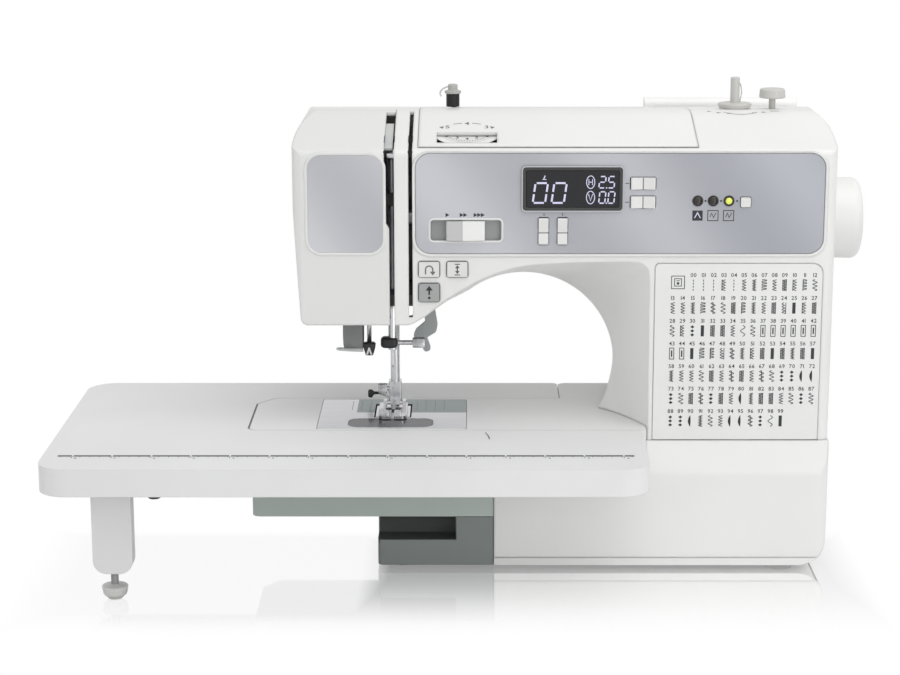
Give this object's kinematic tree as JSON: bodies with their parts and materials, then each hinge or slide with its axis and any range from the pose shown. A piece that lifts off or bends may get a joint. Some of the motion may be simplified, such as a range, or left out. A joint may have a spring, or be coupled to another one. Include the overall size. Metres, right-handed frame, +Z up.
{
  "type": "sewing machine",
  "caption": "Household sewing machine with round arch, control plate with display, stitch chart, free arm, hand wheel and a sliding extension table on a folding leg.",
  "frame": {"origin": "centre of the overall bounding box on the floor plane under the rubber feet", "axes": "+X along the arm from the needle towards the hand wheel, +Y from the operator towards the rear, +Z up"},
  "size_m": [0.544, 0.274, 0.3254],
  "materials": {
    "white_casing": "moulded, satin gloss",
    "grey_casing": "moulded, fine texture",
    "silver_plate": "silver paint, satin",
    "bezel_silver": "silver, satin",
    "display_black": "gloss",
    "black_plastic": "moulded",
    "smoke_cover": "clear smoked",
    "rubber": "moulded",
    "bright_steel": "polished",
    "plate_steel": "fine ground",
    "cast_metal": "as cast",
    "bush_bronze": "sintered",
    "board_green": "solder mask"
  },
  "bodies": {
    "machine": {"front_cover": "white_casing", "rear_cover": "white_casing", "face_cover": "white_casing", "badge_plate": "silver_plate", "case_screws": "bright_steel", "control_plate": "silver_plate", "stitch_chart": "white_casing", "display_bezel": "bezel_silver", "display_glass": "display_black", "circuit_board": "board_green", "base_cover": "white_casing", "base_pan": "grey_casing", "rubber_feet": "rubber", "free_arm": "grey_casing", "bed_cover": "white_casing", "needle_plate": "plate_steel", "bobbin_cover": "smoke_cover", "bobbin_case": "black_plastic", "drive_motor": "cast_metal", "toothed_belts": "rubber", "cast_frame": "cast_metal", "shaft_bushes": "bush_bronze", "spool_pin": "white_casing", "winding_guide": "black_plastic", "winder_stop": "white_casing", "power_inlet": "black_plastic"},
    "drive_shaft": {"main_shaft": "plate_steel", "handwheel": "white_casing"},
    "motor_rotor": {"motor_pulley": "plate_steel"},
    "under_shaft": {"lower_shaft": "plate_steel"},
    "hook": {"rotary_hook": "plate_steel"},
    "needle_set": {"needle_bar": "bright_steel", "needle_clamp": "black_plastic", "clamp_screw": "bright_steel", "needle": "bright_steel"},
    "take_up": {"take_up_lever": "bright_steel"},
    "threader": {"needle_threader": "grey_casing"},
    "presser": {"presser_bar": "bright_steel", "foot_holder": "bright_steel", "holder_screw": "bright_steel", "presser_foot": "bright_steel"},
    "lifter": {"presser_lifter": "grey_casing"},
    "feed": {"feed_dogs": "bright_steel"},
    "lid": {"top_cover": "white_casing"},
    "dial": {"tension_dial": "white_casing"},
    "winder": {"bobbin_winder": "white_casing"},
    "handle": {"carry_handle": "white_casing"},
    "slider": {"speed_slider": "white_casing"},
    "reverse_key": {"reverse_button": "white_casing"},
    "needle_key": {"needle_button": "white_casing"},
    "start_key": {"start_button": "grey_casing"},
    "mode_key": {"mode_button": "white_casing"},
    "tens": {"tens_key": "white_casing"},
    "ones": {"ones_key": "white_casing"},
    "stitch_length": {"length_key": "white_casing"},
    "stitch_width": {"width_key": "white_casing"},
    "switch": {"power_switch": "black_plastic"},
    "table": {"extension_table": "white_casing"},
    "leg": {"table_leg": "white_casing"},
    "leg_screw": {"leg_foot": "white_casing"}
  },
  "joints": [
    {"name": "handwheel_turn", "type": "hinge", "parent": "machine", "child": "drive_shaft", "pos_m": [0.25, 0.03, 0.231], "axis": [1, 0, 0], "continuous": true},
    {"name": "motor_turn", "type": "hinge", "parent": "machine", "child": "motor_rotor", "pos_m": [0.229, 0.075, 0.072], "axis": [1, 0, 0], "continuous": true},
    {"name": "under_shaft_turn", "type": "hinge", "parent": "machine", "child": "under_shaft", "pos_m": [0.05, 0.014, 0.058], "axis": [1, 0, 0], "continuous": true},
    {"name": "hook_turn", "type": "hinge", "parent": "machine", "child": "hook", "pos_m": [-0.0512, -0.01, 0.06], "axis": [0, 0, 1], "continuous": true},
    {"name": "needle_bar_stroke", "type": "slide", "parent": "machine", "child": "needle_set", "axis": [0, 0, 1], "range_m": [-0.029, 0]},
    {"name": "take_up_swing", "type": "hinge", "parent": "machine", "child": "take_up", "pos_m": [-0.044, 0.03, 0.252], "axis": [1, 0, 0], "range_deg": [0, 45]},
    {"name": "threader_stroke", "type": "slide", "parent": "machine", "child": "threader", "axis": [0, 0, 1], "range_m": [-0.018, 0], "stiffness_N_per_m": 40, "springref_m": 0.012},
    {"name": "lifter_swing", "type": "hinge", "parent": "machine", "child": "lifter", "pos_m": [-0.03, 0.04, 0.188], "axis": [0, -1, 0], "range_deg": [0, 28]},
    {"name": "presser_lift", "type": "slide", "parent": "machine", "child": "presser", "axis": [0, 0, 1], "range_m": [0, 0.0065]},
    {"name": "feed_stroke", "type": "slide", "parent": "machine", "child": "feed", "axis": [0, 1, 0], "range_m": [-0.0025, 0.0025]},
    {"name": "lid_hinge", "type": "hinge", "parent": "machine", "child": "lid", "pos_m": [0.06, 0.072, 0.301], "axis": [-1, 0, 0], "range_deg": [0, 85]},
    {"name": "dial_turn", "type": "hinge", "parent": "machine", "child": "dial", "pos_m": [0, 0.004, 0.29391], "axis": [0, -0.2806, 0.9598], "range_deg": [-130, 130]},
    {"name": "winder_shift", "type": "slide", "parent": "machine", "child": "winder", "axis": [1, 0, 0], "range_m": [0, 0.006]},
    {"name": "handle_fold", "type": "hinge", "parent": "machine", "child": "handle", "pos_m": [0.183, 0.119, 0.268], "axis": [-1, 0, 0], "range_deg": [0, 160]},
    {"name": "speed_slide", "type": "slide", "parent": "machine", "child": "slider", "axis": [1, 0, 0], "range_m": [-0.0098, 0.0102]},
    {"name": "reverse_press", "type": "slide", "parent": "machine", "child": "reverse_key", "axis": [0, 1, 0], "range_m": [0, 0.0012], "stiffness_N_per_m": 400, "springref_m": -0.0004},
    {"name": "needle_press", "type": "slide", "parent": "machine", "child": "needle_key", "axis": [0, 1, 0], "range_m": [0, 0.0012], "stiffness_N_per_m": 400, "springref_m": -0.0004},
    {"name": "start_press", "type": "slide", "parent": "machine", "child": "start_key", "axis": [0, 1, 0], "range_m": [0, 0.0012], "stiffness_N_per_m": 400, "springref_m": -0.0004},
    {"name": "mode_press", "type": "slide", "parent": "machine", "child": "mode_key", "axis": [0, 1, 0], "range_m": [0, 0.0008], "stiffness_N_per_m": 400, "springref_m": -0.0004},
    {"name": "tens_rock", "type": "hinge", "parent": "machine", "child": "tens", "pos_m": [0.0507, -0.0305, 0.2325], "axis": [1, 0, 0], "range_deg": [-4, 4], "stiffness_Nm_per_rad": 0.06},
    {"name": "ones_rock", "type": "hinge", "parent": "machine", "child": "ones", "pos_m": [0.0633, -0.0305, 0.2325], "axis": [1, 0, 0], "range_deg": [-4, 4], "stiffness_Nm_per_rad": 0.06},
    {"name": "length_rock", "type": "hinge", "parent": "machine", "child": "stitch_length", "pos_m": [0.1163, -0.0305, 0.2645], "axis": [0, 0, 1], "range_deg": [-4, 4], "stiffness_Nm_per_rad": 0.06},
    {"name": "width_rock", "type": "hinge", "parent": "machine", "child": "stitch_width", "pos_m": [0.1163, -0.0305, 0.252], "axis": [0, 0, 1], "range_deg": [-4, 4], "stiffness_Nm_per_rad": 0.06},
    {"name": "switch_rock", "type": "hinge", "parent": "machine", "child": "switch", "pos_m": [0.2425, 0.052, 0.047], "axis": [0, 1, 0], "range_deg": [-6, 6]},
    {"name": "table_slide", "type": "slide", "parent": "machine", "child": "table", "axis": [-1, 0, 0], "range_m": [0, 0.28]},
    {"name": "leg_fold", "type": "hinge", "parent": "table", "child": "leg", "pos_m": [-0.231, -0.099, 0.085], "axis": [1, 0, 0], "range_deg": [0, 90]},
    {"name": "leg_screw_turn", "type": "hinge", "parent": "leg", "child": "leg_screw", "pos_m": [-0.231, -0.099, 0.02], "axis": [0, 0, 1], "range_deg": [-360, 360]}
  ],
  "couplings": [
    {"joint": "motor_turn", "follows": "handwheel_turn", "ratio": 3},
    {"joint": "under_shaft_turn", "follows": "handwheel_turn", "ratio": 1},
    {"joint": "hook_turn", "follows": "handwheel_turn", "ratio": 2},
    {"joint": "take_up_swing", "follows": "needle_bar_stroke", "rad_per_m": -27.08},
    {"joint": "lifter_swing", "follows": "presser_lift", "rad_per_m": 75}
  ]
}
